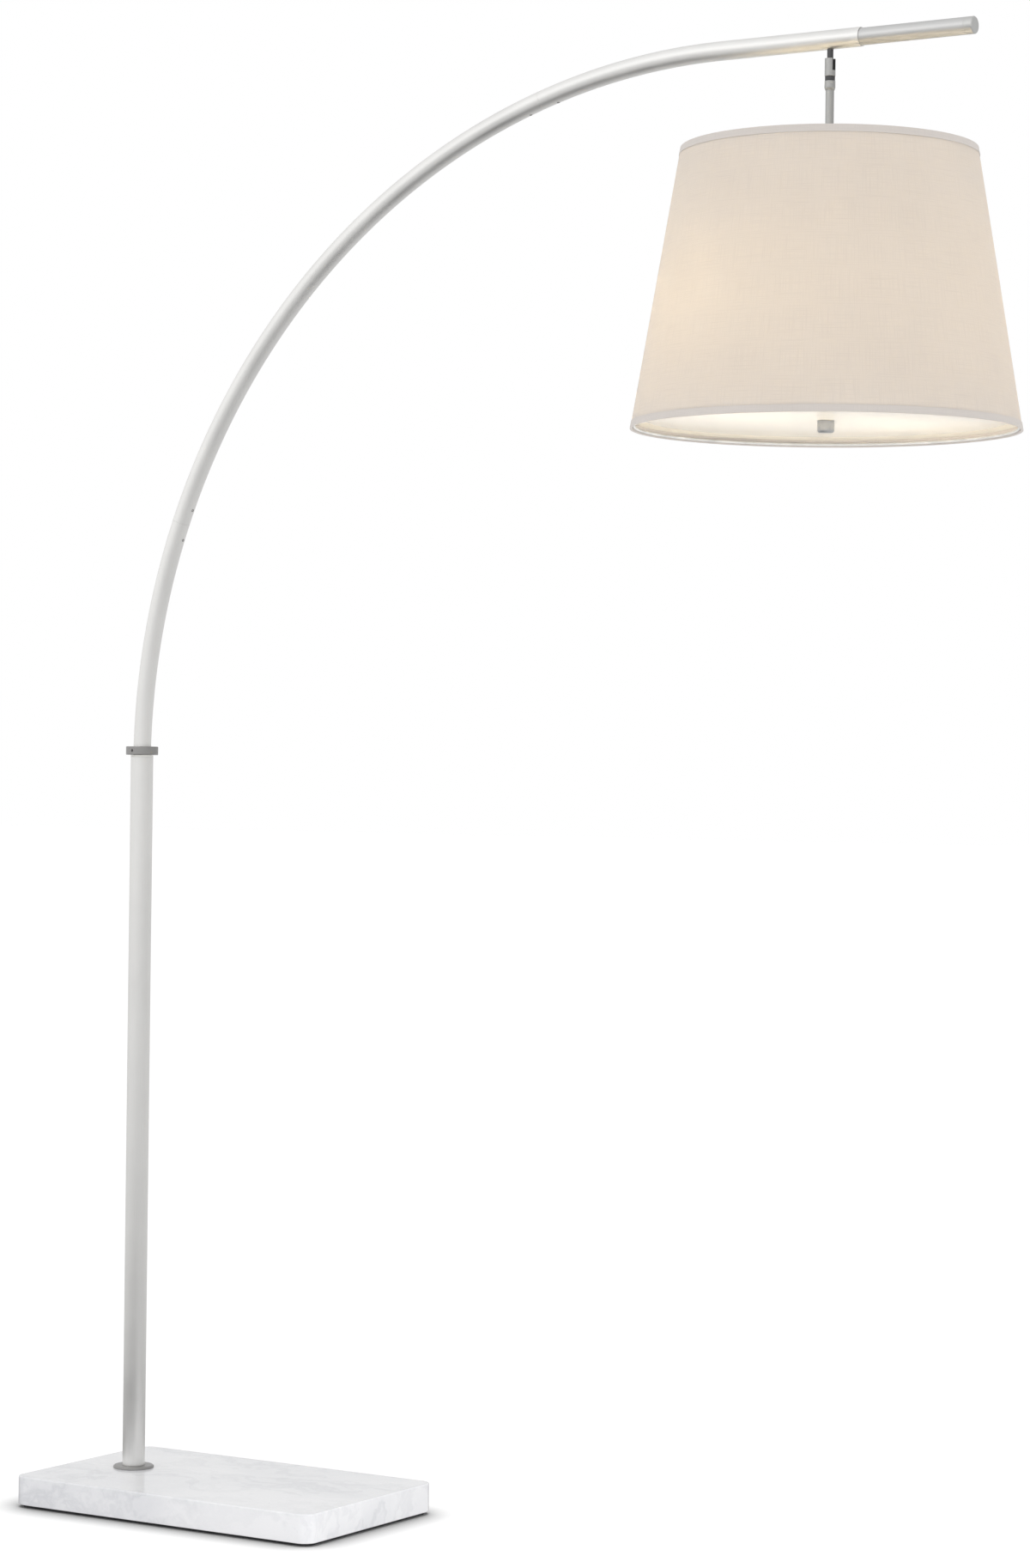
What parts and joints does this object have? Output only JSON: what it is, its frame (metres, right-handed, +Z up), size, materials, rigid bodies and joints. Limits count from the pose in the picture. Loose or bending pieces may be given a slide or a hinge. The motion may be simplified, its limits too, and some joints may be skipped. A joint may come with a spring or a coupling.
{
  "type": "arc floor lamp",
  "caption": "Floor lamp with a marble base, a straight pole, a quarter-circle arm that turns in the pole, and a tapered linen drum shade on a swivel.",
  "frame": {"origin": "on the floor, on the pole's axis", "axes": "+Z up, +X from the pole to the shade along the arm, +Y across the base"},
  "size_m": [1.4416, 0.5032, 2.0005],
  "materials": {
    "marble": "polished white marble with soft grey veins",
    "pad_foam": "thin black foam pad",
    "satin_nickel": "satin nickel plating on steel tube",
    "tip_nickel": "satin nickel plating, a shade darker",
    "cap_nickel": "satin nickel end cap",
    "dark_nickel": "dark satin nickel plating",
    "black_nickel": "black nickel plating",
    "zinc_steel": "plain zinc-plated steel",
    "nylon": "natural nylon bush",
    "lead_sheath": "black sheath",
    "white_wire": "white powder-coated wire",
    "liner_film": "white styrene liner",
    "linen": "cream plain-weave linen",
    "linen_trim": "folded linen hem band",
    "phenolic": "black moulded socket",
    "bulb_screw": "bare bulb base",
    "bulb_glass": "frosted bulb, lit",
    "opal_acrylic": "opal acrylic disc"
  },
  "bodies": {
    "base": {"base_pad": "pad_foam", "base_slab": "marble", "base_flange": "dark_nickel", "base_nipple": "zinc_steel", "base_washer": "zinc_steel", "base_nut": "zinc_steel", "cord_gland": "lead_sheath", "pole_lead": "lead_sheath", "pole_tube": "satin_nickel", "pole_plug": "zinc_steel", "swivel_bush": "nylon"},
    "arm": {"arm_collar": "dark_nickel", "collar_screws": "dark_nickel", "arm_lower": "satin_nickel", "arm_middle": "satin_nickel", "arm_upper": "satin_nickel", "arm_tip": "tip_nickel", "lower_coupler": "zinc_steel", "upper_coupler": "zinc_steel", "joint_screws": "dark_nickel", "arm_end_cap": "cap_nickel", "stop_pin": "zinc_steel", "arm_lead": "lead_sheath", "hang_stud": "black_nickel", "hang_nut": "zinc_steel"},
    "swivel": {"swivel_cup": "tip_nickel", "swivel_pins": "black_nickel", "lock_ring": "black_nickel"},
    "shade": {"turn_nipple": "zinc_steel", "stem_coupler": "tip_nickel", "stem_tube": "tip_nickel", "stem_lead": "lead_sheath", "spider": "white_wire", "spider_nuts": "satin_nickel", "shade_liner": "liner_film", "shade_cover": "linen", "top_trim": "linen_trim", "bottom_trim": "linen_trim", "bottom_ring": "white_wire", "cluster_hub": "satin_nickel", "socket_1": "phenolic", "socket_2": "phenolic", "bulb_base_1": "bulb_screw", "bulb_base_2": "bulb_screw", "bulb_glass_1": "bulb_glass", "bulb_glass_2": "bulb_glass", "diffuser_rod": "zinc_steel", "diffuser_washer": "satin_nickel", "diffuser_disc": "opal_acrylic", "finial": "tip_nickel"}
  },
  "joints": [
    {"name": "arm_swivel", "type": "hinge", "parent": "base", "child": "arm", "pos_m": [0, 0, 1.05], "axis": [0, 0, 1], "range_deg": [-165, 165]},
    {"name": "shade_swing", "type": "hinge", "parent": "arm", "child": "swivel", "pos_m": [1.095, 0, 1.9565], "axis": [0, 1, 0], "range_deg": [-25, 25]},
    {"name": "shade_turn", "type": "hinge", "parent": "swivel", "child": "shade", "pos_m": [1.095, 0, 1.94], "axis": [0, 0, 1], "range_deg": [-170, 170]}
  ]
}
